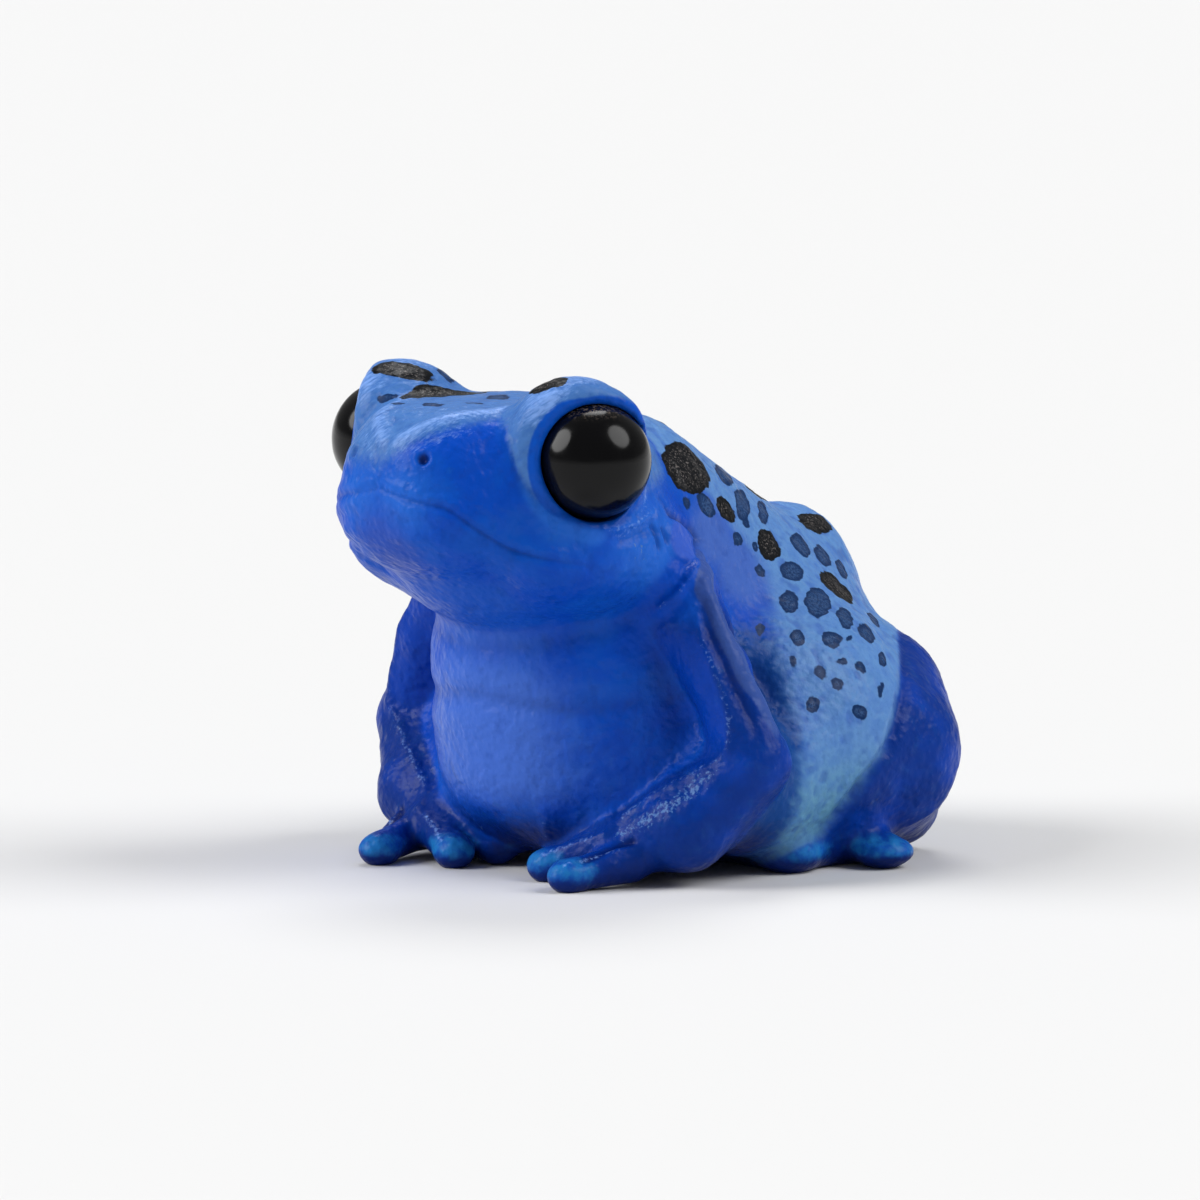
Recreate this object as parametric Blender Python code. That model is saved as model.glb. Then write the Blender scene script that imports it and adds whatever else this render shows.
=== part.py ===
# A small moulded and painted figurine of a cobalt poison dart frog, sitting up on its forelegs.
# The frog faces -Y and its left side is +X. Its belly, hands and feet rest flat at Z = 0,
# with the origin under its middle. Each soft form is a distance field, negative inside.
# The forms are blended into one body, which thin cuts then part into the named pieces.

import bmesh
import bpy
import numpy as np
import openvdb

# Sizes are in millimetres. X is measured from the middle plane, Y back from the line
# through both eyes, and Z up from the floor. An egg has a centre and three radii, and a
# limb has two ends with a radius at each.
MM = 0.001
EYE_LINE_Y = -13.4
SEAM = 0.3
VOXEL = 0.45
SEAM_EDGE = 0.6

EYE_SPREAD = 10.6
EYE_HEIGHT = 31.5
EYE_RADIUS = 4.3
EYE = (EYE_SPREAD, 0.5, EYE_HEIGHT)
EYE_FACING = (0.89, -0.46, 0.0)
EYE_SEGMENTS = 24
EYE_RINGS = 14
LID_REACH = 1.15
LID_EDGE = 0.8
SOCKET_EDGE = 0.4
BROW = (EYE_SPREAD - 1.5, 0.1, EYE_HEIGHT + 0.65)
BROW_RADIUS = 5.4
BROW_FOLD = 1.8

SKULL = (0.0, 2.2, 28.4), (11.2, 11.8, 7.6)
SNOUT_WIDTH = 1.6
SNOUT = (0.0, -4.2, 29.6), (6.3, 6.5, 6.0)
LIPS = (0.0, -3.7, 27.0), (6.4, 6.6, 3.8)
JOWL = (8.1, 3.6, 24.6), (4.4, 8.6, 4.4)
THROAT = (0.0, 4.0, 22.8), (9.6, 9.0, 5.0)
HEAD_FOLD = 2.0
CROWN_HEIGHT = 36.0
CROWN_EDGE = 2.0
NOSTRIL = (4.0, -10.2, 31.9)
NOSTRIL_RADIUS = 0.6

LIP_FRONT = (0.0, -11.8, 30.2)
LIP_FALL_BACK = 0.39
LIP_FALL_SIDE = 0.17
THROAT_CUT = (0.0, -2.0, 17.4)
THROAT_RISE = 0.47
NAPE_CUT = (0.0, 12.0, 30.0)
NAPE_LEAN = 0.1
NECK_EDGE = 4.0

BELLY = (0.0, 19.2, 11.8), (14.9, 18.5, 11.9)
CHEST = (0.0, 9.5, 17.3), (10.8, 10.2, 11.8)
PAUNCH = (0.0, 13.5, 7.0), (11.8, 12.8, 6.6)
FLANK = (9.5, 22.4, 9.0), (9.2, 9.2, 9.2)
BACK = (0.0, 12.0, 24.4), (0.0, 27.5, 17.2), 9.2, 7.4
HUMP = (0.0, 31.3, 19.4), (5.2, 4.9, 5.6)
WEB = (13.6, 13.2, 6.8), (4.4, 5.4, 5.0)
BODY_ROLL = 4.0
HUMP_ROLL = 2.0
NECK_ROLL = 2.0

SHOULDER = (11.6, 8.7, 20.8)
MID_ARM = (15.0, 9.1, 15.6)
ELBOW = (18.0, 9.9, 9.2)
WRIST = (10.0, 4.9, 2.8)
ARM_RADII = 2.9, 2.2, 2.4
MID_FOREARM = (13.8, 6.9, 4.3)
FOREARM_RADII = 2.4, 3.1, 2.2
KNUCKLES = (8.8, 4.0, 2.3)
FINGER_TIPS = (9.9, -1.3, 1.1), (4.9, 1.5, 1.1), (3.6, 4.6, 1.2)
FINGER_RADII = 1.6, 1.15
FINGER_PADS = (1.35, 1.6, 1.1), (1.45, 1.4, 1.1), (0.9, 0.9, 0.8)

HIP = (9.5, 31.2, 11.2)
KNEE = (13.4, 28.4, 8.2)
HEEL = (12.0, 31.0, 3.6)
THIGH_RADII = 5.2, 5.6
SHANK = (13.8, 28.4, 6.0), HEEL, 4.6, 3.2
SOLE = HEEL, (13.8, 24.4, 2.8), 2.6, 2.3
TOE_ROOT = (13.8, 24.6, 1.9)
TOE_TIPS = (14.3, 17.5, 1.2), (17.5, 23.9, 1.2), (10.9, 18.8, 1.1)
TOE_RADII = 1.6, 1.2
TOE_PADS = (2.2, 2.2, 1.2), (2.3, 2.2, 1.2), (1.5, 1.6, 1.1)
LIMB_FOLD = 1.0
JOIN_FOLD = 2.2
DIGIT_FOLD = 0.8
LIMB_SKIN = 0.35

LOW_CORNER = (-22.0, -14.0, -1.5)
HIGH_CORNER = (22.0, 40.0, 40.0)
FAR = 100.0
TRIANGLES = {
    "head": 2200,
    "lower_jaw": 1100,
    "torso": 2600,
    "upper_arm": 500,
    "forearm": 340,
    "hand": 460,
    "haunch": 700,
    "hind_foot": 520,
}

# Linear colours of the paint, and how glossy it dried
HEAD_BLUE = (0.03, 0.16, 0.62)
JAW_BLUE = (0.02, 0.06, 0.52)
BACK_BLUE = (0.10, 0.30, 0.62)
LIMB_BLUE = (0.01, 0.03, 0.36)
TOE_BLUE = (0.01, 0.12, 0.42)
EYE_BLACK = (0.01, 0.01, 0.012)
PAINT_ROUGHNESS = 0.45
EYE_ROUGHNESS = 0.08


def distance(at, place):
    return np.sqrt(((at - np.array(place)) ** 2).sum(-1))


def egg(at, centre, radii):
    """Near distance to an ellipsoid."""
    offset = at - np.array(centre)
    radii = np.array(radii)
    level = np.sqrt(((offset / radii) ** 2).sum(-1))
    slope = np.sqrt(((offset / radii**2) ** 2).sum(-1))
    return level * (level - 1.0) / np.maximum(slope, 1e-6)


def broad_egg(at, width, centre, radii):
    """Near distance to an ellipsoid that is pulled apart sideways by a width on each side."""
    inner = np.stack([np.maximum(at[..., 0] - width, 0.0), at[..., 1], at[..., 2]], axis=-1)
    return egg(inner, centre, radii)


def limb(at, start, end, start_radius, end_radius):
    """Distance to a tapered rod with round ends."""
    start = np.array(start)
    run = np.array(end) - start
    share = np.clip((at - start) @ run / (run @ run), 0.0, 1.0)
    nearest = start + share[..., None] * run
    return distance(at, nearest) - (start_radius + (end_radius - start_radius) * share)


def beyond(at, place, facing):
    """Height over the plane through a place, on the side that it faces."""
    facing = np.array(facing)
    return (at - np.array(place)) @ (facing / np.linalg.norm(facing))


def blend(reach, first, *others):
    """Joins forms with a fillet of about this reach."""
    form = first
    for other in others:
        share = np.clip(0.5 + 0.5 * (other - form) / reach, 0.0, 1.0)
        form = other + (form - other) * share - reach * share * (1.0 - share)
    return form


def trim(reach, form, cutter):
    """Keeps the form where the cutter is negative, with an edge rounded by this reach."""
    return -blend(reach, -form, -cutter)


def head(at):
    skull = blend(
        HEAD_FOLD,
        egg(at, *SKULL),
        broad_egg(at, SNOUT_WIDTH, *SNOUT),
        broad_egg(at, SNOUT_WIDTH, *LIPS),
        egg(at, *JOWL),
        egg(at, *THROAT),
    )
    skull = trim(CROWN_EDGE, skull, at[..., 2] - CROWN_HEIGHT)
    brow = distance(at, BROW) - BROW_RADIUS
    brow = trim(LID_EDGE, brow, beyond(at, EYE, EYE_FACING) - LID_REACH)
    return blend(BROW_FOLD, skull, brow)


def trunk(at):
    form = blend(
        BODY_ROLL,
        egg(at, *BELLY),
        egg(at, *CHEST),
        egg(at, *PAUNCH),
        egg(at, *FLANK),
        egg(at, *WEB),
        limb(at, *BACK),
    )
    return blend(HUMP_ROLL, form, egg(at, *HUMP))


def upper_arm(at):
    shoulder, middle, elbow = ARM_RADII
    return blend(
        LIMB_FOLD,
        limb(at, SHOULDER, MID_ARM, shoulder, middle),
        limb(at, MID_ARM, ELBOW, middle, elbow),
    )


def forearm(at):
    elbow, middle, wrist = FOREARM_RADII
    return blend(
        LIMB_FOLD,
        limb(at, ELBOW, MID_FOREARM, elbow, middle),
        limb(at, MID_FOREARM, WRIST, middle, wrist),
    )


def digits(at, root, tips, radii, pads):
    """Fingers or toes that fan out from one root, each with a pad at its tip."""
    rods = [limb(at, root, tip, *radii) for tip in tips]
    ends = [egg(at, tip, pad) for tip, pad in zip(tips, pads)]
    return blend(DIGIT_FOLD, *rods, *ends)


def hand(at):
    return digits(at, KNUCKLES, FINGER_TIPS, FINGER_RADII, FINGER_PADS)


def haunch(at):
    return blend(LIMB_FOLD, limb(at, HIP, KNEE, *THIGH_RADII), limb(at, *SHANK))


def hind_foot(at):
    toes = digits(at, TOE_ROOT, TOE_TIPS, TOE_RADII, TOE_PADS)
    return blend(LIMB_FOLD, limb(at, *SOLE), toes)


def whole_skin(at):
    """The outside of the whole body, flat underneath, with eye sockets and nostrils."""
    skin = blend(NECK_ROLL, trunk(at), head(at))
    arm = blend(LIMB_FOLD, upper_arm(at), forearm(at), hand(at))
    leg = blend(LIMB_FOLD, haunch(at), hind_foot(at))
    skin = blend(JOIN_FOLD, skin, arm, leg)
    skin = np.maximum(skin, -at[..., 2])
    skin = trim(SOCKET_EDGE, skin, EYE_RADIUS + SEAM - distance(at, EYE))
    return trim(SOCKET_EDGE, skin, NOSTRIL_RADIUS - distance(at, NOSTRIL))


def head_zone(at):
    """Negative in front of the nape and above the crease of the throat."""
    under = beyond(at, THROAT_CUT, (0.0, THROAT_RISE, -1.0))
    behind = beyond(at, NAPE_CUT, (0.0, 1.0, NAPE_LEAN))
    return trim(NECK_EDGE, under, behind)


def mouth_zone(at):
    """Negative below the line of the mouth, which falls back and out from the snout."""
    side, back, height = LIP_FRONT
    fall = LIP_FALL_BACK * (at[..., 1] - back) + LIP_FALL_SIDE * (at[..., 0] - side)
    return at[..., 2] - (height - fall)


def zones(at):
    """Each piece's share of the body. A piece takes what those before it leave."""
    face = head_zone(at)
    yield "lower_jaw", np.maximum(face, mouth_zone(at))
    yield "head", face
    yield "hand", hand(at) - LIMB_SKIN
    yield "forearm", forearm(at) - LIMB_SKIN
    yield "upper_arm", upper_arm(at) - LIMB_SKIN
    yield "hind_foot", hind_foot(at) - LIMB_SKIN
    yield "haunch", haunch(at) - LIMB_SKIN
    yield "torso", np.full(at.shape[:-1], -FAR)


def pieces(at):
    """Each piece's field: the body inside its zone, a seam away from the zones before it."""
    skin = whole_skin(at)
    taken = np.full(skin.shape, FAR)
    for name, zone in zones(at):
        yield name, trim(SEAM_EDGE, trim(SEAM_EDGE, skin, zone), SEAM - taken)
        taken = np.minimum(taken, zone)


def paint(name, colour, roughness):
    material = bpy.data.materials.new(name)
    material.use_nodes = True
    shader = material.node_tree.nodes["Principled BSDF"]
    shader.inputs["Base Color"].default_value = (*colour, 1.0)
    shader.inputs["Roughness"].default_value = roughness
    shader.inputs["Metallic"].default_value = 0.0
    return material


def keep_largest(shape):
    """Deletes the scraps that a cut leaves beside the piece itself."""
    left = set(shape.faces)
    bodies = []
    while left:
        body = {left.pop()}
        front = list(body)
        while front:
            edges = front.pop().edges
            near = {face for edge in edges for face in edge.link_faces} & left
            left -= near
            body |= near
            front.extend(near)
        bodies.append(body)
    bodies.sort(key=len)
    scraps = [face for body in bodies[:-1] for face in body]
    bmesh.ops.delete(shape, geom=scraps, context="FACES")


def surface(name, field, low):
    """A mesh of the field's zero surface, in metres."""
    grid = openvdb.FloatGrid(FAR)
    grid.copyFromArray(field.astype(np.float32))
    places, triangles, quads = grid.convertToPolygons()
    places = (places * VOXEL + low + np.array((0.0, EYE_LINE_Y, 0.0))) * MM
    faces = triangles.tolist() + quads.tolist()
    mesh = bpy.data.meshes.new(name)
    mesh.from_pydata(places.tolist(), [], faces)
    shape = bmesh.new()
    shape.from_mesh(mesh)
    keep_largest(shape)
    shape.to_mesh(mesh)
    shape.free()
    mesh.shade_smooth()
    return mesh


def place(name, mesh, material):
    mesh.materials.append(material)
    piece = bpy.data.objects.new(name, mesh)
    bpy.context.scene.collection.objects.link(piece)
    return piece


def thin_out(piece, triangles):
    made = sum(len(face.vertices) - 2 for face in piece.data.polygons)
    modifier = piece.modifiers.new("thin_out", "DECIMATE")
    modifier.ratio = triangles / made


def mirrored(mesh, name):
    twin = mesh.copy()
    twin.name = name
    shape = bmesh.new()
    shape.from_mesh(twin)
    bmesh.ops.scale(shape, vec=(-1.0, 1.0, 1.0), verts=shape.verts)
    bmesh.ops.reverse_faces(shape, faces=shape.faces)
    shape.to_mesh(twin)
    shape.free()
    return twin


def make_body():
    low = np.array(LOW_CORNER)
    counts = np.ceil((np.array(HIGH_CORNER) - low) / VOXEL).astype(int) + 1
    axes = [low[i] + VOXEL * np.arange(counts[i]) for i in range(3)]
    at = np.stack(np.meshgrid(*axes, indexing="ij"), axis=-1)
    at[..., 0] = np.abs(at[..., 0])
    colours = {
        "head": paint("head_paint", HEAD_BLUE, PAINT_ROUGHNESS),
        "lower_jaw": paint("jaw_paint", JAW_BLUE, PAINT_ROUGHNESS),
        "torso": paint("back_paint", BACK_BLUE, PAINT_ROUGHNESS),
        "limb": paint("limb_paint", LIMB_BLUE, PAINT_ROUGHNESS),
        "toe": paint("toe_paint", TOE_BLUE, PAINT_ROUGHNESS),
    }
    middle = int(np.argmin(np.abs(axes[0])))
    for name, field in pieces(at):
        if name in ("head", "lower_jaw", "torso"):
            thin_out(place(name, surface(name, field, low), colours[name]), TRIANGLES[name])
            continue
        half = low.copy()
        half[0] = axes[0][middle]
        colour = colours["toe" if name in ("hand", "hind_foot") else "limb"]
        left = surface(name + "_left", field[middle:], half)
        right = mirrored(left, name + "_right")
        thin_out(place(left.name, left, colour), TRIANGLES[name])
        thin_out(place(right.name, right, colour), TRIANGLES[name])


def make_eyes():
    gloss = paint("eye_gloss", EYE_BLACK, EYE_ROUGHNESS)
    for name, side in (("eye_left", 1.0), ("eye_right", -1.0)):
        mesh = bpy.data.meshes.new(name)
        shape = bmesh.new()
        bmesh.ops.create_uvsphere(
            shape, u_segments=EYE_SEGMENTS, v_segments=EYE_RINGS, radius=EYE_RADIUS * MM
        )
        shape.to_mesh(mesh)
        shape.free()
        mesh.shade_smooth()
        eye = place(name, mesh, gloss)
        across, back, height = EYE
        eye.location = (side * across * MM, (back + EYE_LINE_Y) * MM, height * MM)


for leftover in list(bpy.data.objects):
    bpy.data.objects.remove(leftover)
make_body()
make_eyes()
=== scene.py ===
import math

import bmesh
import bpy
import numpy as np
import openvdb
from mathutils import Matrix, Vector


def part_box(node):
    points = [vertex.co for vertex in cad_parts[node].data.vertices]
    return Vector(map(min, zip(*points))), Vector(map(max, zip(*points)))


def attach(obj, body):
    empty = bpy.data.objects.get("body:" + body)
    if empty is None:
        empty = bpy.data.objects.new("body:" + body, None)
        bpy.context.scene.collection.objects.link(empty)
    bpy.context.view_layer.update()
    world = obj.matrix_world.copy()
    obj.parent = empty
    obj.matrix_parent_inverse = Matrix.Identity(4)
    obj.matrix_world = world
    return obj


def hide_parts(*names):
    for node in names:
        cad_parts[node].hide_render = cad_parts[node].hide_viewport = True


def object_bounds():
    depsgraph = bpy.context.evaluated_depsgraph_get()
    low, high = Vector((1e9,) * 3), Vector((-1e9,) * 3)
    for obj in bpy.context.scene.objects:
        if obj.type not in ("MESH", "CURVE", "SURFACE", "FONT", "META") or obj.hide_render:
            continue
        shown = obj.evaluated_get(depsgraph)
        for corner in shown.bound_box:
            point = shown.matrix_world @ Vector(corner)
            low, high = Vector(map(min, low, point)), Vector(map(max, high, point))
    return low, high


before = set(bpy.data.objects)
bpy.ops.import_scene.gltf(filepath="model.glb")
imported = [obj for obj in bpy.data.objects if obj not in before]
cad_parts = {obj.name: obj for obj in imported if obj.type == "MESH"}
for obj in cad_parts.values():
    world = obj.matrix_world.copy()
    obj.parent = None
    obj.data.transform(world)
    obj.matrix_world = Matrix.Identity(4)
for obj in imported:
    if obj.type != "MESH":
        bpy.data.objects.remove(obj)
packed_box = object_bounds()


# The head. On the real frog it is the upper front of a one-piece casting in hard resin, modelled in soft
# clay: a broad flat crown, a blunt snout, a swelling over each eye, and a wide jaw over the chest. Sizes
# are millimetres from the line between the eyes: to the frog's left, back, and up from the table.
MM = 0.001
eye_low, eye_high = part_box("eye_left")
EYE_RADIUS = (eye_high.z - eye_low.z) / 2 / MM
EYE_BACK = 0.5
EYE = ((eye_low.x + eye_high.x) / 2 / MM, EYE_BACK, (eye_low.z + eye_high.z) / 2 / MM)
EYE_LINE = (eye_low.y + eye_high.y) / 2 / MM - EYE_BACK
EYE_FACING = (0.89, -0.46, 0.0)
BROW = (EYE[0] - 1.5, 0.1, EYE[2] + 0.65)
BROW_RADIUS = 5.4
BROW_FOLD = 1.8
LID_REACH = 1.0
LID_EDGE = 0.8
SKULL = (0.0, 2.2, 28.4), (11.2, 11.8, 7.6)
SNOUT_WIDTH = 1.6
SNOUT = (0.0, -4.2, 29.6), (6.3, 6.5, 6.0)
LIPS = (0.0, -3.7, 27.0), (6.4, 6.6, 3.8)
JOWL = (8.1, 3.6, 24.6), (4.4, 8.6, 4.4)
THROAT = (0.0, 4.0, 22.8), (9.6, 9.0, 5.0)
HEAD_FOLD = 2.0
CROWN_HEIGHT = 36.0
CROWN_EDGE = 2.0
NOSTRIL = (3.6, -9.8, 31.9)
NOSTRIL_RADIUS = 0.34


def distance(at, place):
    return np.sqrt(((at - np.array(place)) ** 2).sum(-1))


def egg(at, centre, radii):
    """Near distance to an ellipsoid."""
    offset = at - np.array(centre)
    radii = np.array(radii)
    level = np.sqrt(((offset / radii) ** 2).sum(-1))
    slope = np.sqrt(((offset / radii**2) ** 2).sum(-1))
    return level * (level - 1.0) / np.maximum(slope, 1e-6)


def broad_egg(at, width, centre, radii):
    """Near distance to an ellipsoid that is pulled apart sideways by a width on each side."""
    inner = np.stack([np.maximum(at[..., 0] - width, 0.0), at[..., 1], at[..., 2]], axis=-1)
    return egg(inner, centre, radii)


def beyond(at, place, facing):
    """Height over the plane through a place, on the side that it faces."""
    facing = np.array(facing)
    return (at - np.array(place)) @ (facing / np.linalg.norm(facing))


def knead(reach, first, *others):
    """Joins forms with a fillet of about this reach."""
    form = first
    for other in others:
        share = np.clip(0.5 + 0.5 * (other - form) / reach, 0.0, 1.0)
        form = other + (form - other) * share - reach * share * (1.0 - share)
    return form


def carve(reach, form, cutter):
    """Keeps the form where the cutter is negative, with an edge rounded by this reach."""
    return -knead(reach, -form, -cutter)


def head_form(at):
    skull = knead(
        HEAD_FOLD,
        egg(at, *SKULL),
        broad_egg(at, SNOUT_WIDTH, *SNOUT),
        broad_egg(at, SNOUT_WIDTH, *LIPS),
        egg(at, *JOWL),
        egg(at, *THROAT),
    )
    skull = carve(CROWN_EDGE, skull, at[..., 2] - CROWN_HEIGHT)
    brow = distance(at, BROW) - BROW_RADIUS
    brow = carve(LID_EDGE, brow, beyond(at, EYE, EYE_FACING) - LID_REACH)
    return knead(BROW_FOLD, skull, brow)


# Where the photo was taken from, to the frog's left and a little above, and what it shows: the real size
# of one of its pixels, and the pixel that shows the middle of the frog.
CAMERA_SIDE = math.radians(45.0)
CAMERA_RISE = math.radians(7.2)
PHOTO_PIXEL = 0.074
PHOTO_MIDDLE = (612, 617)
SUBJECT = (0.0, 13.1, 18.0)
TO_CAMERA = np.array((
    math.sin(CAMERA_SIDE) * math.cos(CAMERA_RISE),
    -math.cos(CAMERA_SIDE) * math.cos(CAMERA_RISE),
    math.sin(CAMERA_RISE),
))
TO_RIGHT = np.array((math.cos(CAMERA_SIDE), math.sin(CAMERA_SIDE), 0.0))
TO_TOP = np.cross(TO_CAMERA, TO_RIGHT)
SKIN_REACH = 40.0
SKIN_STEP = 0.1

# Lines that the sculptor drew into the head with a rounded tool, each as the pixels of the photo that it
# passes, picked and counted from the left and from the top.
MOUTH = (
    (380, 487), (386, 491), (399, 497), (415, 503), (436, 508), (453, 513),
    (477, 530), (509, 549), (532, 557), (556, 562), (585, 567), (615, 577),
)
LIP_ROLL = (384, 536), (405, 538), (430, 540), (455, 547), (490, 560)
CANTHUS = (385, 456), (400, 448), (419, 436), (440, 427), (470, 419), (502, 413)
EYE_RING = (
    (508, 425), (509, 440), (512, 455), (519, 478), (532, 493), (564, 517),
    (600, 525), (621, 520), (637, 510), (650, 499), (662, 481),
)
EYE_TAIL = (605, 531), (628, 527), (645, 518), (659, 508)
EAR_FOLD = (660, 500), (671, 514), (687, 525), (697, 540), (697, 559)
EAR_NICKS = ((653, 527), (660, 556)), ((663, 530), (668, 548))
EAR_DRUM = (11.7, 8.5, 25.0)
EAR_DRUM_RADIUS = 1.7
CHEEK = (7.2, -6.8, 30.6)
CHEEK_REACH = 2.6
CHEEK_DEPTH = 0.35


def ramp(value, low, high):
    """Climbs smoothly from 0 at low to 1 at high."""
    share = np.clip((value - low) / (high - low), 0.0, 1.0)
    return share * share * (3.0 - 2.0 * share)


def band(gap, middle, width):
    """From 0 to 1, how near a gap is to its middle value."""
    return np.exp(-(((gap - middle) / width) ** 2))


def slope(at):
    """Which way is out of the body, and how steeply the form rises there."""
    reach = 0.02
    rise = [body_form(at + reach * axis) - body_form(at - reach * axis) for axis in np.eye(3)]
    return np.stack(rise, axis=-1) / (2.0 * reach)


def folded(at):
    """The same places with the right side laid on the left, as the forms are measured."""
    return np.abs(at * (1.0, 0.0, 0.0)) + at * (0.0, 1.0, 1.0)


def met_from(starts, toward):
    """Where lines through these places, followed inwards from this side, first meet the skin."""
    steps = np.arange(SKIN_REACH, -SKIN_REACH, -SKIN_STEP)
    path = starts[:, None] + steps[:, None] * toward
    form = body_form(folded(path))
    first = np.where((form < 0.0).any(axis=1), (form < 0.0).argmax(axis=1), form.argmin(axis=1))
    return path[np.arange(len(path)), first]


def seen_at(pixels):
    """Where the skin shows at these pixels of the photo."""
    across, down = ((np.array(pixels) - PHOTO_MIDDLE) * PHOTO_PIXEL).T
    return met_from(SUBJECT + across[:, None] * TO_RIGHT - down[:, None] * TO_TOP, TO_CAMERA)


def laid_on_skin(line):
    """The places of a line, each moved the short way onto the skin."""
    for pull in range(3):
        rise = slope(line)
        line = line - (body_form(line) / (rise**2).sum(-1))[:, None] * rise
    return line


def stroke(at, line, width, start=1.0, end=0.0):
    """From 0 to 1, how much each place lies on a drawn line, which fades towards an end that is 0."""
    line = [Vector(place) for place in folded(seen_at(line))]
    steps = 5
    ends = [2 * line[0] - line[1], *line, 2 * line[-1] - line[-2]]
    bent = []
    for before, first, second, after in zip(ends, ends[1:], ends[2:], ends[3:]):
        for step in range(steps):
            t = step / steps
            bent.append(
                0.5 * (2 * first + (second - before) * t
                       + (2 * before - 5 * first + 4 * second - after) * t**2
                       + (3 * first - before - 3 * second + after) * t**3)
            )
    bent = laid_on_skin(np.array([*bent, line[-1]]))
    reach = 3.0 * width
    close = np.all((at > bent.min(0) - reach) & (at < bent.max(0) + reach), axis=1)
    some = at[close]
    best = np.full(len(some), reach)
    run_share = np.zeros(len(some))
    for index, (first, second) in enumerate(zip(bent, bent[1:])):
        run = second - first
        share = np.clip((some - first) @ run / max(run @ run, 1e-9), 0.0, 1.0)
        gap = distance(some, first + share[:, None] * run)
        nearer = gap < best
        best = np.where(nearer, gap, best)
        run_share = np.where(nearer, (index + share) / (len(bent) - 1), run_share)
    fade = start + (1.0 - start) * ramp(run_share, 0.0, 0.3)
    fade = fade * (end + (1.0 - end) * ramp(1.0 - run_share, 0.0, 0.3))
    weight = np.zeros(len(at))
    weight[close] = band(best, 0.0, width) * fade
    return weight


def drawn(at, marks):
    """Each mark's line times its amount. A mark is an amount, a line, a width, and its start and end."""
    return [amount * stroke(at, line, width, *ends) for amount, line, width, *ends in marks]


def lowered(line, drop):
    """The same line, moved down the picture by so many millimetres of the frog."""
    return [(across, down + drop / PHOTO_PIXEL) for across, down in line]


HEAD_MARKS = (
    (-0.17, MOUTH, 0.22, 0.6, 0.1),
    (0.14, lowered(MOUTH, 0.75), 0.5, 0.2, 0.3),
    (0.12, lowered(MOUTH, -0.6), 0.4, 0.2, 0.3),
    (0.06, LIP_ROLL, 0.5, 0.0),
    (-0.08, lowered(LIP_ROLL, 1.1), 0.7, 0.0),
    (-0.06, lowered(LIP_ROLL, -0.9), 0.5, 0.0),
    (0.22, CANTHUS, 0.8, 0.2, 0.6),
    (-0.26, EYE_RING, 0.6, 0.4, 0.2),
    (0.28, EYE_TAIL, 0.45, 0.5),
    (-0.28, lowered(EYE_TAIL, 0.9), 0.5, 0.3),
    (-0.38, EAR_FOLD, 0.45, 0.2),
    *((-0.22, nick, 0.25) for nick in EAR_NICKS),
)


def head_relief(at):
    """Height that the tool left over the smooth forms of the head."""
    relief = sum(drawn(at, HEAD_MARKS))
    relief -= CHEEK_DEPTH * band(distance(at, CHEEK), 0.0, CHEEK_REACH)
    drum = distance(at, EAR_DRUM) - EAR_DRUM_RADIUS - 0.3
    relief += 0.10 * ramp(-drum, 0.0, 0.6) - 0.08 * band(drum, 0.0, 0.3)
    relief += 0.22 * band(distance(at, EYE) - EYE_RADIUS, 0.65, 0.45)
    relief += 0.12 * band(distance(at, NOSTRIL) - NOSTRIL_RADIUS, 0.35, 0.3)
    return relief


# The trunk. It is the same casting: a pot belly that sags onto the table, a chest with a fold across
# it, and a back that slopes evenly to the small hump over the hips.
BELLY = (0.0, 19.2, 11.8), (14.9, 18.5, 11.9)
CHEST = (0.0, 9.5, 17.3), (10.8, 10.2, 11.8)
PAUNCH = (0.0, 13.5, 7.0), (11.8, 12.8, 6.6)
FLANK = (9.5, 22.4, 9.0), (9.2, 9.2, 9.2)
WEB = (13.6, 13.2, 6.8), (4.4, 5.4, 5.0)
BACK_LINE = (0.0, 12.0, 24.4), (0.0, 27.5, 17.2)
BACK_RADII = 9.2, 7.4
HUMP = (0.0, 31.3, 19.4), (5.2, 4.9, 5.6)
BODY_ROLL = 4.0
HUMP_ROLL = 2.0
NECK_ROLL = 1.2


def rod(at, start, end, start_radius, end_radius):
    """Distance to a tapered rod with round ends."""
    start = np.array(start)
    run = np.array(end) - start
    share = np.clip((at - start) @ run / (run @ run), 0.0, 1.0)
    nearest = start + share[..., None] * run
    return distance(at, nearest) - (start_radius + (end_radius - start_radius) * share)


def trunk_form(at):
    form = knead(
        BODY_ROLL,
        egg(at, *BELLY),
        egg(at, *CHEST),
        egg(at, *PAUNCH),
        egg(at, *FLANK),
        egg(at, *WEB),
        rod(at, *BACK_LINE, *BACK_RADII),
    )
    return knead(HUMP_ROLL, form, egg(at, *HUMP))


THROAT_FOLD = (480, 648), (540, 646), (600, 635), (635, 614), (670, 601)
CHEST_FOLD = (483, 694), (534, 704), (585, 710), (641, 702)
HAUNCH_FOLD = (902, 630), (904, 671), (899, 708), (888, 745), (869, 771), (851, 793), (832, 815), (817, 834)
TRUNK_MARKS = (
    (-0.14, THROAT_FOLD, 0.8, 1.0, 0.6),
    (-0.28, CHEST_FOLD, 0.9, 1.0, 0.3),
    (0.14, lowered(CHEST_FOLD, 1.9), 1.3),
    (-0.42, HAUNCH_FOLD, 0.6, 0.3, 0.3),
)


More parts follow.
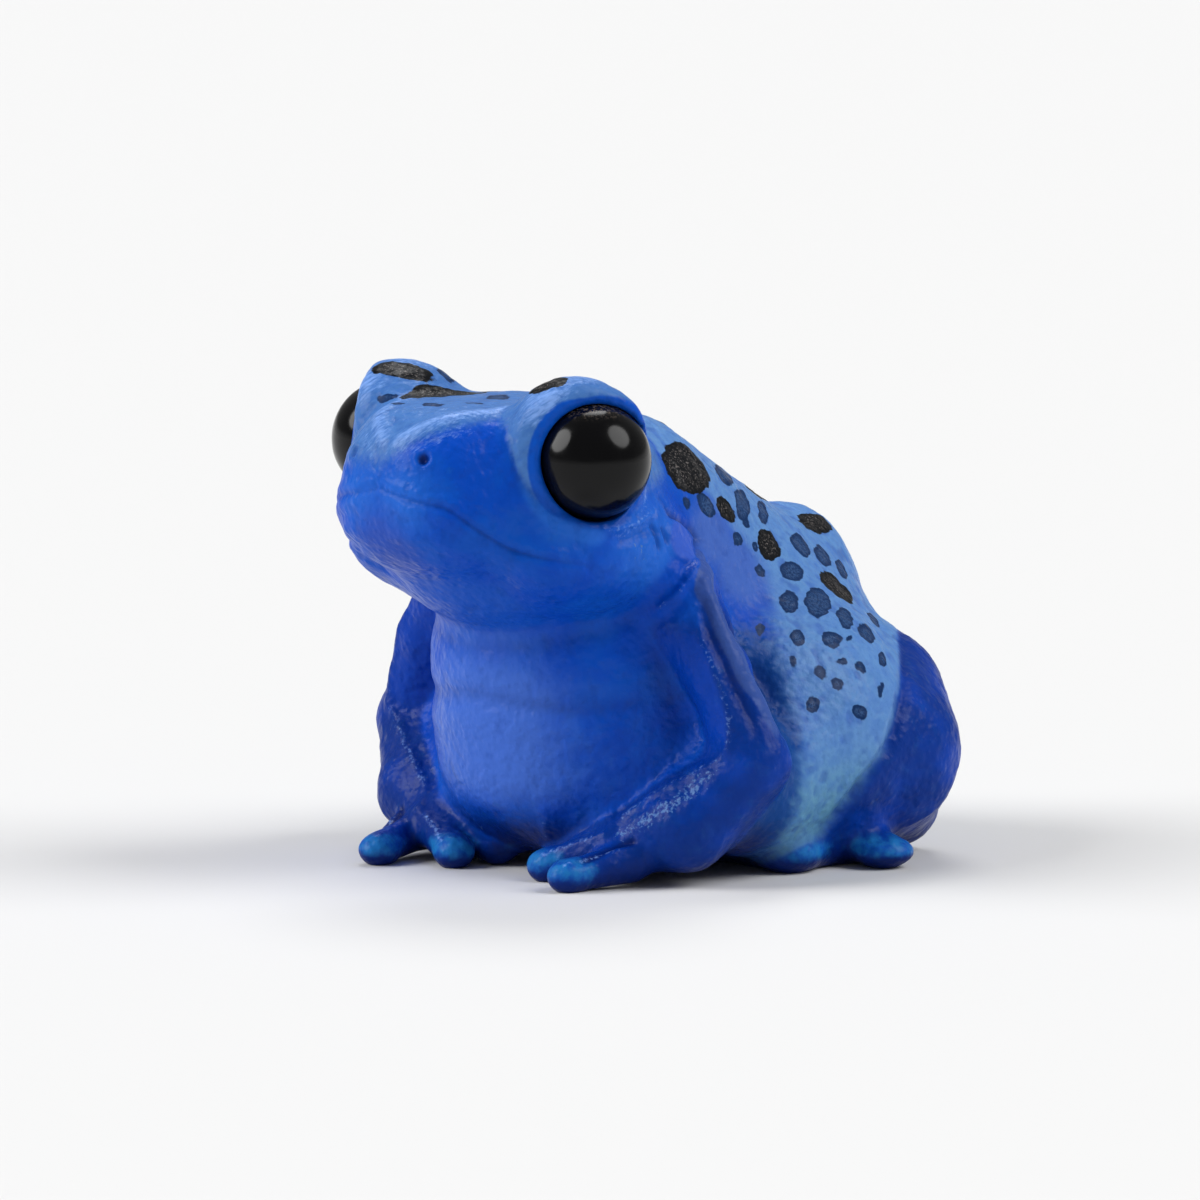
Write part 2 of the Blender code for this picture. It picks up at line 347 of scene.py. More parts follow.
# The forelegs. Each is pressed against the side of the body: a flat-sided upper arm with a ridge down
# its front and another down its back, a forearm that runs in to the middle, and three blunt fingers.
SHOULDER = (11.6, 8.7, 20.8)
MID_ARM = (15.0, 9.1, 15.6)
ELBOW = (18.0, 9.9, 9.2)
ARM_RADII = 2.9, 2.2, 2.4
MID_FOREARM = (13.8, 6.9, 4.3)
WRIST = (10.0, 4.9, 2.8)
FOREARM_RADII = 2.4, 3.1, 2.2
KNUCKLES = (11.4, 3.5, 1.9), (9.3, 3.5, 2.5), (8.4, 4.6, 2.5)
FINGER_TIPS = (9.9, -1.3, 1.1), (4.9, 1.5, 1.1), (3.6, 4.6, 1.2)
FINGER_RADII = 1.6, 1.15
FINGER_PADS = (1.35, 1.6, 1.1), (1.45, 1.4, 1.1), (0.9, 0.9, 0.8)
LIMB_FOLD = 1.0
DIGIT_FOLD = 0.8


def arm_form(at):
    shoulder, middle, elbow = ARM_RADII
    upper = knead(
        LIMB_FOLD,
        rod(at, SHOULDER, MID_ARM, shoulder, middle),
        rod(at, MID_ARM, ELBOW, middle, elbow),
    )
    elbow, middle, wrist = FOREARM_RADII
    lower = knead(
        LIMB_FOLD,
        rod(at, ELBOW, MID_FOREARM, elbow, middle),
        rod(at, MID_FOREARM, WRIST, middle, wrist),
    )
    return knead(LIMB_FOLD, upper, lower)


def digits(at, roots, tips, radii, pads):
    """Fingers or toes, each with a pad at its tip."""
    rods = [rod(at, root, tip, *radii) for root, tip in zip(roots, tips)]
    ends = [egg(at, tip, pad) for tip, pad in zip(tips, pads)]
    return knead(DIGIT_FOLD, *rods, *ends)


def hand_form(at):
    return digits(at, KNUCKLES, FINGER_TIPS, FINGER_RADII, FINGER_PADS)


ARM_FRONT = (697, 623), (700, 640), (710, 660), (722, 695), (728, 719), (727, 745)
ARM_BACK = (699, 560), (703, 585), (712, 605), (722, 630), (740, 669), (757, 698), (770, 726), (773, 742)
SHOULDER_RIDGE = (698, 562), (680, 590), (663, 605), (645, 618)
ARM_GROOVE = (683, 584), (700, 600), (706, 625), (718, 655), (735, 690), (752, 725), (756, 745)
ARM_CREASE = (709, 572), (720, 597), (734, 633), (756, 673), (774, 706), (787, 731)
FOREARM_TOP = (727, 745), (700, 768), (660, 790), (628, 812), (607, 829)
FOREARM_FACE = (718, 758), (700, 780), (672, 801), (645, 818), (620, 831)
ARMPIT = (646, 618), (658, 654), (667, 694), (675, 735), (658, 767)
FINGER_RIDGES = ((629, 844), (598, 852), (566, 862)), ((604, 832), (574, 842), (542, 853))
FINGER_GROOVE = (631, 839), (614, 844), (591, 855), (566, 865)
INNER_FINGER = (463, 802), (478, 818), (488, 838)
ARM_MARKS = (
    (0.26, ARM_FRONT, 0.55, 0.2, 0.6),
    (0.30, ARM_BACK, 0.8, 0.8, 0.2),
    (0.26, SHOULDER_RIDGE, 0.35, 0.7),
    (-0.18, lowered(SHOULDER_RIDGE, -0.9), 0.4, 0.3),
    (-0.18, lowered(SHOULDER_RIDGE, 1.0), 0.5, 0.3),
    (-0.28, ARM_GROOVE, 0.5, 0.3, 0.2),
    (-0.34, ARM_CREASE, 0.8, 0.4, 0.2),
    (0.20, FOREARM_TOP, 0.5, 0.5, 0.3),
    (-0.30, FINGER_GROOVE, 0.4),
    (0.16, INNER_FINGER, 0.5),
    *((0.14, ridge, 0.4) for ridge in FINGER_RIDGES),
)


# The hind legs. Each is folded up into a round haunch on the table, with a short foot under it whose
# toes end in round pads.
HIP = (9.5, 31.2, 11.2)
KNEE = (13.4, 28.4, 8.2)
HEEL = (12.0, 31.0, 3.6)
THIGH_RADII = 5.2, 5.6
SHANK = (13.8, 28.4, 6.0), HEEL, 4.6, 3.2
SOLE = HEEL, (13.8, 24.4, 2.8), 2.6, 2.3
TOE_ROOTS = ((13.8, 24.6, 1.9),) * 3
TOE_TIPS = (14.3, 17.5, 1.2), (17.5, 23.9, 1.2), (10.9, 18.8, 1.1)
TOE_RADII = 1.6, 1.2
TOE_PADS = (2.2, 2.2, 1.2), (2.3, 2.2, 1.2), (1.5, 1.6, 1.1)


def haunch_form(at):
    return knead(LIMB_FOLD, rod(at, HIP, KNEE, *THIGH_RADII), rod(at, *SHANK))


def foot_form(at):
    toes = digits(at, TOE_ROOTS, TOE_TIPS, TOE_RADII, TOE_PADS)
    return knead(LIMB_FOLD, rod(at, *SOLE), toes)


# The casting. All of the forms above come out of one mould as one skin, flat underneath, with a socket
# for each eye bead and a pit for each nostril. Its surface keeps the leathery grain of the clay.
JOIN_FOLD = 2.2
SOCKET_GAP = 0.05
SOCKET_EDGE = 0.4
VOXEL = 0.3
FAR = 100.0
HALF_LOW = (0.0, -14.0, -1.2)
HALF_HIGH = (21.0, 39.0, 39.0)
GRAIN_CELLS = 32
LEATHER_DEPTH = 0.05


def body_form(at):
    skin = knead(NECK_ROLL, trunk_form(at), head_form(at))
    arm = knead(LIMB_FOLD, arm_form(at), hand_form(at))
    leg = knead(LIMB_FOLD, haunch_form(at), foot_form(at))
    skin = knead(JOIN_FOLD, skin, arm, leg)
    skin = np.maximum(skin, -at[..., 2])
    skin = carve(SOCKET_EDGE, skin, EYE_RADIUS + SOCKET_GAP - distance(at, EYE))
    return carve(SOCKET_EDGE, skin, NOSTRIL_RADIUS - distance(at, NOSTRIL))


def grain(at, size, seed):
    """A smooth random height from -1 to 1 that changes over about this size."""
    cells = np.random.default_rng(seed).uniform(-1.0, 1.0, (GRAIN_CELLS,) * 3)
    corner = np.floor(at / size).astype(int)
    share = at / size - corner
    share = share * share * (3.0 - 2.0 * share)
    height = np.zeros(len(at))
    for step in np.ndindex(2, 2, 2):
        weight = np.prod(np.where(step, share, 1.0 - share), axis=1)
        height += weight * cells[tuple((corner + step).T % GRAIN_CELLS)]
    return height


def cast():
    low = np.array(HALF_LOW)
    counts = np.ceil((np.array(HALF_HIGH) - low) / VOXEL).astype(int) + 1
    axes = [low[i] + VOXEL * np.arange(counts[i]) for i in range(3)]
    half = body_form(np.stack(np.meshgrid(*axes, indexing="ij"), axis=-1))
    whole = np.concatenate([half[:0:-1], half])
    grid = openvdb.FloatGrid(FAR)
    grid.copyFromArray(whole.astype(np.float32))
    places, triangles, quads = grid.convertToPolygons()
    corner = low - (VOXEL * (counts[0] - 1), 0.0, 0.0)
    mesh = bpy.data.meshes.new("frog_skin")
    mesh.from_pydata((places * VOXEL + corner).tolist(), [], triangles.tolist() + quads.tolist())
    rough = bpy.data.objects.new("frog_skin", mesh)
    bpy.context.scene.collection.objects.link(rough)
    finer = rough.modifiers.new("finer", "SUBSURF")
    finer.levels = 1
    finer.render_levels = 1
    seen = rough.evaluated_get(bpy.context.evaluated_depsgraph_get())
    rough.data = bpy.data.meshes.new_from_object(seen)
    rough.modifiers.clear()
    return rough


def places_of(piece):
    found = np.zeros(len(piece.data.vertices) * 3)
    piece.data.vertices.foreach_get("co", found)
    return found.reshape(-1, 3)


# The mesh is drawn onto the exact form twice, and then raised or sunk by the tool marks and the grain.
skin = cast()
surface = places_of(skin)
for pull in range(2):
    rise = slope(folded(surface))
    gap = body_form(folded(surface)) / np.maximum((rise**2).sum(-1), 0.2)
    rise[:, 0] *= np.sign(surface[:, 0])
    surface -= gap[:, None] * rise
outward = slope(folded(surface))
outward[:, 0] *= np.sign(surface[:, 0])
outward /= np.linalg.norm(outward, axis=1)[:, None]
half = folded(surface)

relief = head_relief(half) + sum(drawn(half, TRUNK_MARKS + ARM_MARKS))
pitted = ramp(distance(half, EYE) - EYE_RADIUS, 0.3, 1.0) * ramp(half[:, 2], 0.3, 2.0)
leather = LEATHER_DEPTH * (grain(surface, 0.9, 11) + 0.6 * grain(surface, 0.45, 12))
lumps = LEATHER_DEPTH * grain(surface, 3.2, 13)
relief += pitted * (leather + lumps)
surface += relief[:, None] * outward
surface[:, 2] = np.maximum(surface[:, 2], 0.0)
lowest, highest = (np.array(corner) / MM - (0.0, EYE_LINE, 0.0) for corner in packed_box)
surface = np.clip(surface, lowest, highest)
in_metres = (surface + (0.0, EYE_LINE, 0.0)) * MM
skin.data.vertices.foreach_set("co", in_metres.ravel())
skin.data.update()
skin.data.shade_smooth()

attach(skin, "root")
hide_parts("head", "lower_jaw", "torso")
for side in ("left", "right"):
    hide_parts(*(f"{part}_{side}" for part in ("upper_arm", "forearm", "hand", "haunch", "hind_foot")))


# The paint. The bare casting is sprayed cobalt. Lighter and darker coats are then sprayed and brushed
# over it by hand: sky blue on the crown and back, violet blue on the throat and belly, navy on the legs,
# and turquoise on the finger and toe tips. Painted shade goes on in navy in the folds, and painted
# highlights go on as a nearly dry brush of pale blue on the ridges and brows.
FINGER_TIP_COAT = 3.3
TOE_TIP_COAT = 4.0

# Soft round patches, each with its middle and how far it reaches. Those in a group have an amount first.
CHIN_PATCH = (0.0, -9.6, 25.4), 3.6
# Painted highlights on the front and the top of the brow.
BROW_FRONT_HIGHLIGHT = (9.6, -3.2, 36.0), 2.8
BROW_TOP_HIGHLIGHT = (9.0, 1.0, 37.3), 3.2
NECK_PATCHES = (1.0, (9.4, 14.2, 24.8), 2.8), (1.0, (10.2, 16.4, 22.2), 3.2)
# The jowl blue on the front of the lips is partly a painted sheen.
JOWL_PATCHES = (1.0, (12.0, 5.0, 25.4), 4.6), (0.8, (2.0, -10.6, 28.6), 3.4), (0.7, (10.4, -2.0, 27.0), 3.0)
FLECK_PATCHES = (0.75, (12.4, 3.4, 24.8), 2.2), (0.4, (12.0, 5.9, 23.0), 1.8), (0.5, (12.6, 6.4, 21.2), 1.2)

# Where the sky blue begins, as pairs of height and back, and the pale crown, as pairs of side and height.
FLANK_EDGE = (
    (0.0, 13.6), (4.5, 14.2), (8.0, 14.6), (10.0, 15.2), (13.0, 15.8), (17.0, 16.4),
    (20.5, 18.4), (23.0, 17.8), (25.5, 16.4), (28.0, 14.0), (31.0, 10.0),
)
FAR_CROWN_EDGE = (-12.0, 29.5), (-7.0, 31.2), (-1.6, 31.5)

# Lines of painted shade and of painted highlight, each with its amount, its width, and how full it is at its
# start and end.
CREASE_SHADE_LINES = (
    (0.34, MOUTH, 0.2, 0.8, 0.1),
    (0.35, HAUNCH_FOLD, 0.8, 0.4, 0.8),
    (0.6, ARM_GROOVE, 0.6, 0.3, 0.3),
    (0.5, ARM_CREASE, 1.2, 0.3, 0.3),
    (0.9, FINGER_GROOVE, 0.5),
    (0.3, CHEST_FOLD, 0.7, 1.0, 1.0),
    (0.25, THROAT_FOLD, 0.8, 1.0, 1.0),
    (0.55, EAR_FOLD, 0.4, 0.4),
    (0.25, lowered(EYE_TAIL, 0.9), 0.4, 0.3),
    (0.30, EYE_RING, 0.45, 0.2),
    *((0.45, nick, 0.28) for nick in EAR_NICKS),
)
# Painted highlights on the ridges of the arm, fingers and eye tail, laid on like a dry brush.
RIDGE_HIGHLIGHT_LINES = (
    (0.6, FOREARM_TOP, 0.5, 0.8, 0.3),
    (0.55, ARM_FRONT, 0.4, 0.0, 1.0),
    (0.55, EYE_TAIL, 0.4),
    (0.5, INNER_FINGER, 0.35, 0.6),
    (0.45, SHOULDER_RIDGE, 0.35, 0.8),
    *((0.7, ridge, 0.35, 0.3, 1.0) for ridge in FINGER_RIDGES),
)
# Painted highlights along the canthus ridge, streaked like a brush.
BRUSHED_HIGHLIGHT_LINES = (0.9, CANTHUS, 1.0, 0.4, 1.0), (0.6, lowered(CANTHUS, 1.0), 0.9, 0.3)


def keep(name, value):
    """Writes a mask onto the skin for its material to read."""
    layer = skin.data.attributes.new(name, "FLOAT", "POINT")
    layer.data.foreach_set("value", value.astype(np.float32))


def most(*values):
    """The strongest of several masks at each place."""
    return np.maximum.reduce(values)


def around(centre, reach):
    """A soft round patch of spray."""
    return band(distance(half, centre), 0.0, reach)


def patches(marks):
    """Each soft patch times its amount."""
    return [amount * around(centre, reach) for amount, centre, reach in marks]


# Which part of the frog each place of the skin lies on.
side, back, height = half.T
arm_near = ramp(0.9 - np.minimum(arm_form(half), hand_form(half)), 0.0, 0.8)
fold = folded(seen_at(HAUNCH_FOLD[::-1]))
leg_edge = np.interp(height, fold[:, 2] - 0.5, fold[:, 0] + fold[:, 1] - 0.2)
leg_soft = 0.7 + 1.6 * ramp(12.0 - height, 0.0, 8.0)
leg_near = ramp((side + back - leg_edge) / leg_soft, -1.0, 1.2)
leg_near *= ramp(19.0 - height, 0.0, 2.0) * ramp(side, 3.0, 8.0)
foot_near = ramp(0.8 - foot_form(half), 0.0, 0.8) * ramp(4.4 - height, 0.0, 1.6)
limb_near = most(arm_near, leg_near, foot_near)
limb = limb_near * (1.0 - 0.85 * ramp(height, 17.5, 20.5))
head_near = ramp(0.8 - head_form(half), 0.0, 0.8) * ramp(trunk_form(half) - head_form(half), -0.6, 0.6)
trunk_near = (1.0 - limb_near) * (1.0 - head_near)
eye_gap = distance(half, EYE) - EYE_RADIUS
nostril_gap = distance(half, NOSTRIL) - NOSTRIL_RADIUS

# The sprayed coats: pale above the ridges of the snout, sky blue behind the flank edge, violet in front.
crown_edge = np.concatenate([
    FAR_CROWN_EDGE,
    seen_at(lowered(CANTHUS, 0.7))[:, (0, 2)],
    seen_at(lowered(EYE_RING[:5], 0.4))[:, (0, 2)],
])
crown_edge = crown_edge[np.argsort(crown_edge[:, 0])]
over_canthus = height - np.interp(surface[:, 0], *crown_edge.T)
soft = 1.0 + ramp(3.0 - surface[:, 0], 0.0, 3.6) + ramp(side, 8.6, 10.5)
crown = head_near * ramp(over_canthus / soft, -1.0, 1.0)
crown = most(crown, head_near * ramp(back, 1.5, 5.0) * ramp(height - 0.25 * side, 25.5, 28.5))
crown *= ramp(15.0 - back, 0.0, 8.0)
lid_width = 0.9 + 0.5 * ramp(beyond(half, EYE, (-0.5, -0.85, 0.1)), 1.0, 4.0)
lid = ramp(lid_width - eye_gap, 0.0, 0.5)
flank_edge = np.interp(height, *np.transpose(FLANK_EDGE))
sky = most(trunk_near, head_near * ramp(back, 8.0, 12.0)) * ramp(back - flank_edge, -2.2, 2.4)
shade = trunk_near * ramp(back - flank_edge, -6.5, -3.0) * ramp(flank_edge + 2.0 - back, 0.0, 3.0)
shade *= ramp(20.0 - height, 0.0, 4.0) * ramp(side, 7.0, 10.0)
neck = most(*patches(NECK_PATCHES)) * (1.0 - arm_near)
middle = ramp(10.5 - side, 0.0, 9.0)
violet = trunk_near * ramp(8.5 - back, -1.5, 5.0) * (0.15 + 0.85 * middle) * ramp(height, 3.0, 8.0)
# The violet fades under the throat as painted shade below it.
violet *= 1.0 - 0.45 * ramp(height, 13.5, 17.0)
throat = head_near * ramp(25.5 - height, 0.0, 5.0) * middle
chin = head_near * around(*CHIN_PATCH)
tips = most(
    *(ramp(FINGER_TIP_COAT - distance(half, place), 0.0, 2.2) for place in FINGER_TIPS[:2]),
    *(ramp(TOE_TIP_COAT - distance(half, place), 0.0, 1.8) for place in TOE_TIPS),
)
# Kept to the faces that turn up: turquoise tip paint, lighter on top as painted light.
tips *= ramp(outward[:, 2], -0.8, 0.5) * ramp(3.0 - height, 0.0, 1.4)
eye_bag = 1.1 * band(eye_gap, 1.3, 0.7) * ramp(33.0 - height, 0.0, 2.5) * ramp(2.0 - back, 0.0, 3.0)
jowl = head_near * most(*patches(JOWL_PATCHES), eye_bag)
low_belly = ramp(6.5 - height, 0.0, 4.5) * ramp(15.0 - back, 0.0, 4.0) * (1.0 - arm_near)
# The front face of the upper arm gets a lighter cobalt than the rest of the leg, as painted light.
front = folded(seen_at(ARM_FRONT[::-1]))
arm_plane = np.interp(height, front[:, 2], front[:, 0])
arm_plane = arm_near * ramp(arm_plane - side, -0.1, 0.4)
arm_plane *= ramp(height, 9.5, 11.5) * ramp(20.0 - height, 0.0, 2.0)
arm_band = ramp(stroke(half, ARM_BACK, 0.9, start=1.0, end=0.4), 0.3, 0.6)
drum_patch = ramp(EAR_DRUM_RADIUS + 0.2 - distance(half, EAR_DRUM), 0.0, 0.7)

# Painted shade in navy in the folds, the armpit, the nostril pits, under the belly, near the table and on
# the far arm, and painted highlights in pale blue on what stands out, laid on like a dry brush.
wash = most(
    *drawn(half, CREASE_SHADE_LINES),
    0.42 * stroke(half, ARMPIT, 1.3, start=0.1, end=0.7) * (1.0 - 0.7 * arm_near),
    ramp(0.35 - nostril_gap, 0.0, 0.5) * ramp(surface[:, 0], -4.0, 2.0),
    0.9 * low_belly * (1.0 - tips),
    0.8 * ramp(3.6 - height, 0.0, 3.0) * (1.0 - tips),
    0.3 * arm_near * ramp(-surface[:, 0], 2.0, 8.0),
)
# A black ring on the socket's lip against the bead: black paint spilled from the bead, and painted shade in
# the gap.
black_rim = ramp(0.13 - eye_gap, 0.0, 0.12)
dry = most(
    *drawn(half, RIDGE_HIGHLIGHT_LINES),
    0.6 * around(NOSTRIL, 1.0) * ramp(nostril_gap, 0.2, 0.4),
    0.6 * band(eye_gap, 1.5, 0.5) * ramp(back, -1.0, 2.5),
)
brushed_highlight = most(
    *drawn(half, BRUSHED_HIGHLIGHT_LINES),
    around(*BROW_FRONT_HIGHLIGHT) * ramp(eye_gap, 0.7, 1.4),
    0.9 * around(*BROW_TOP_HIGHLIGHT) * ramp(eye_gap, 0.9, 1.6),
)
flecks = most(
    stroke(half, FOREARM_FACE, 1.1, start=0.6, end=0.8) * ramp(surface[:, 0], -24.0, 4.0),
    *patches(FLECK_PATCHES),
)

for name, value in dict(
    crown=crown, lid=lid, sky=sky, neck=neck, violet=violet, throat=throat, chin=chin, limb=limb,
    tips=tips, wash=wash, dry=dry, brushed_highlight=brushed_highlight, flecks=flecks, drum=drum_patch, arm_band=arm_band,
    arm_plane=arm_plane, black_rim=black_rim, shade=shade, jowl=jowl,
    low=ramp(13.0 - height, 0.0, 11.0), peak=leather / LEATHER_DEPTH,
).items():
    keep(name, value)


# The spots. They are dabbed on by hand in two paints, black and thinned navy, scattered over the crown
# and down the back and flank. Each is a blunt oval with an uneven edge, and its right-hand twin differs.
SPOT_BLACK = (0.003, 0.004, 0.006)
SPOT_SPECK = (0.15, 0.135, 0.13)
SPOT_NAVY = (0.004, 0.026, 0.10)
SPOT_NAVY_PALE = (0.030, 0.080, 0.21)
SPOT_REACH = 1.5
SPOT_BLUNTNESS = 2.5
LEAST_FACING = 0.3
FROM_PHOTO = TO_CAMERA, TO_RIGHT, TO_TOP
FROM_ABOVE = np.array((0.0, 0.0, 1.0)), np.array((1.0, 0.0, 0.0)), np.array((0.0, 1.0, 0.0))

# Spots in the photo: the middle pixel, the length and width in pixels, and the turn down from level.
BLACK_SEEN = (
    (687, 467, 58, 38, 48), (725, 510, 28, 14, 60), (768, 544, 32, 21, 70), (838, 588, 44, 14, 42),
    (402, 371, 62, 16, 8), (446, 396, 84, 11, 0), (506, 391, 48, 5, 0), (549, 388, 40, 10, -20),
)
NAVY_SEEN = (
    (724, 474, 26, 14, 55), (686, 504, 15, 8, 70), (705, 506, 28, 13, 55), (743, 504, 32, 14, 80),
    (746, 524, 8, 6, 80), (763, 511, 24, 9, 78), (736, 540, 14, 9, 70), (754, 547, 10, 5, 80),
    (758, 570, 15, 8, 75), (801, 545, 28, 13, 55), (823, 555, 24, 11, 55), (843, 569, 20, 8, 60),
    (792, 572, 25, 17, 25), (788, 602, 21, 18, 80), (817, 602, 28, 25, 60), (845, 618, 22, 14, 60),
    (866, 633, 22, 12, 55), (875, 621, 18, 8, 60), (796, 637, 16, 14, 60), (831, 640, 18, 15, 20),
    (848, 638, 6, 6, 0), (881, 659, 16, 8, 85), (792, 661, 13, 8, 90), (818, 672, 15, 10, 60),
    (840, 662, 10, 7, 10), (858, 667, 14, 11, 50), (836, 684, 12, 11, 100), (879, 691, 13, 6, 90),
    (811, 704, 15, 12, 100), (859, 711, 16, 14, 60), (760, 630, 10, 8, 90), (447, 377, 22, 8, 40),
    (390, 400, 18, 7, -15), (401, 407, 14, 4, -5), (435, 408, 22, 4, 2), (477, 406, 16, 3, 0),
    (499, 400, 22, 10, 0),
)

# Guessed spots on the hidden back: how far to the left and back, the length and width in millimetres,
# and the turn as seen from above.
BLACK_HIDDEN = (
    (3.2, 25, 3, 1.5, 50), (3.6, 31, 4.5, 1.8, 75), (-1, 14.5, 4, 2.5, 70), (-2.8, 28.5, 3.5, 2, 115),
    (0.6, 20.5, 3.2, 2.2, 30),
)
NAVY_HIDDEN = (
    (3.4, 9.5, 2.5, 1.5, 50), (-4, 10.5, 2, 1.4, 90), (2.6, 16, 1.5, 1.2, 90),
    (-3.6, 18.5, 3, 1.5, 125), (-1.8, 24, 2, 1.4, 80), (0.4, 33.5, 2.4, 1.6, 20),
)

# A spot that lies further out and further back than this has a twin, moved and turned by up to this much.
LONE_REACH = 5.5
CROWN_END = 8.0
TWIN_SHIFT = 0.7
TWIN_TURN = 25.0
MIRROR = np.array((-1.0, 1.0, 1.0))


def arrows_of(out, view, length, width, turn):
    """Half the length and half the width of a spot, laid from the view's plane onto the skin."""
    toward, right, top = view
    turned = math.radians(turn)
    along = length / 2 * (math.cos(turned) * right - math.sin(turned) * top)
    across = width / 2 * (math.sin(turned) * right + math.cos(turned) * top)
    lift = 1.0 / max(out @ toward, LEAST_FACING)
    return np.array([arrow - (arrow @ out) * lift * toward for arrow in (along, across)])


def outward_at(place):
    """Which way is straight out of the skin at one place."""
    out = slope(folded(place)) * (math.copysign(1.0, place[0]), 1.0, 1.0)
    return out / np.linalg.norm(out)


def outside(centre, out, arrows):
    """Which places are near a spot, and how far outside its edge each of them is."""
    lengths = np.linalg.norm(arrows, axis=1)
    near = distance(surface, centre) < SPOT_REACH + lengths[0] + 2.0
    offset = surface[near] - centre
    offset -= offset[np.argmin((offset**2).sum(-1))]
    share = np.abs(offset @ np.linalg.pinv(arrows))
    level = (share**SPOT_BLUNTNESS).sum(-1) ** (1.0 / SPOT_BLUNTNESS)
    return near, np.where(outward[near] @ out > 0.2, (level - 1.0) * lengths.min(), SPOT_REACH)


def spots_of(seen, hidden, seed):
    """Depth inside the nearest spot, in millimetres, and how far outside it where negative."""
    draw = np.random.default_rng(seed)
    depth = np.full(len(surface), -SPOT_REACH)
    starts = np.array([(across, back, 0.0) for across, back, *_ in hidden])
    middles = [*seen_at([spot[:2] for spot in seen]), *met_from(starts, FROM_ABOVE[0])]
    shapes = [(FROM_PHOTO, PHOTO_PIXEL * long, PHOTO_PIXEL * wide, turn) for *_, long, wide, turn in seen]
    shapes += [(FROM_ABOVE, *spot[2:]) for spot in hidden]
    for middle, shape in zip(middles, shapes):
        out = outward_at(middle)
        arrows = arrows_of(out, *shape)
        marks = [(middle, out, arrows)]
        shift = draw.uniform(-TWIN_SHIFT, TWIN_SHIFT, 3)
        swell = draw.uniform(0.8, 1.2)
        swing = math.radians(draw.uniform(-TWIN_TURN, TWIN_TURN))
        if abs(middle[0]) > LONE_REACH and middle[1] > CROWN_END:
            turned = math.cos(swing) * arrows + math.sin(swing) * np.cross(out, arrows)
            marks.append((middle * MIRROR + shift, out * MIRROR, swell * turned * MIRROR))
        for mark in marks:
            near, gap = outside(*mark)
            depth[near] = np.maximum(depth[near], -gap)
    return depth


keep("black", spots_of(BLACK_SEEN, BLACK_HIDDEN, 21))
keep("navy", spots_of(NAVY_SEEN, NAVY_HIDDEN, 22))


# The finish. The paints are matt acrylics with a faint satin where they are thick. Spray leaves a fine
# mist at the edge of a coat and a brush leaves streaks, so each coat is broken up by its own noise.
COBALT = (0.001, 0.062, 0.48)
LID_COBALT = (0.003, 0.080, 0.50)
JOWL_BLUE = (0.014, 0.122, 0.59)
SKY_BLUE = (0.115, 0.27, 0.58)
CROWN_BLUE = (0.064, 0.184, 0.49)
FLANK_GREY = (0.115, 0.30, 0.47)
BELLY_VIOLET = (0.050, 0.140, 0.57)
THROAT_VIOLET = (0.006, 0.082, 0.51)
NECK_VIOLET = (0.055, 0.135, 0.50)
CHIN_VIOLET = (0.022, 0.075, 0.43)
LIMB_NAVY = (0.001, 0.031, 0.25)
LIMB_VIOLET = (0.004, 0.040, 0.26)
ARM_GREY = (0.040, 0.090, 0.34)
LIMB_COBALT = (0.001, 0.050, 0.42)
SHADE_TEAL = (0.004, 0.056, 0.26)
TURQUOISE = (0.014, 0.165, 0.48)
PAINTED_SHADE_NAVY = (0.001, 0.012, 0.12)
HIGHLIGHT_PALE = (0.21, 0.38, 0.82)
FLECK_PALE = (0.075, 0.18, 0.46)
DRUM_VIOLET = (0.035, 0.105, 0.55)
EYE_RIM_BLACK = (0.001, 0.003, 0.016)
LEATHER_CELL = 0.5
LEATHER_BUMP = 0.1
STREAKS_DOWN_BACK = (1.0, 5.0, 1.0), (-0.45, 0.0, 0.0)
STREAKS_UP_SNOUT = (5.0, 1.0, 1.0), (0.0, -0.64, 0.79)


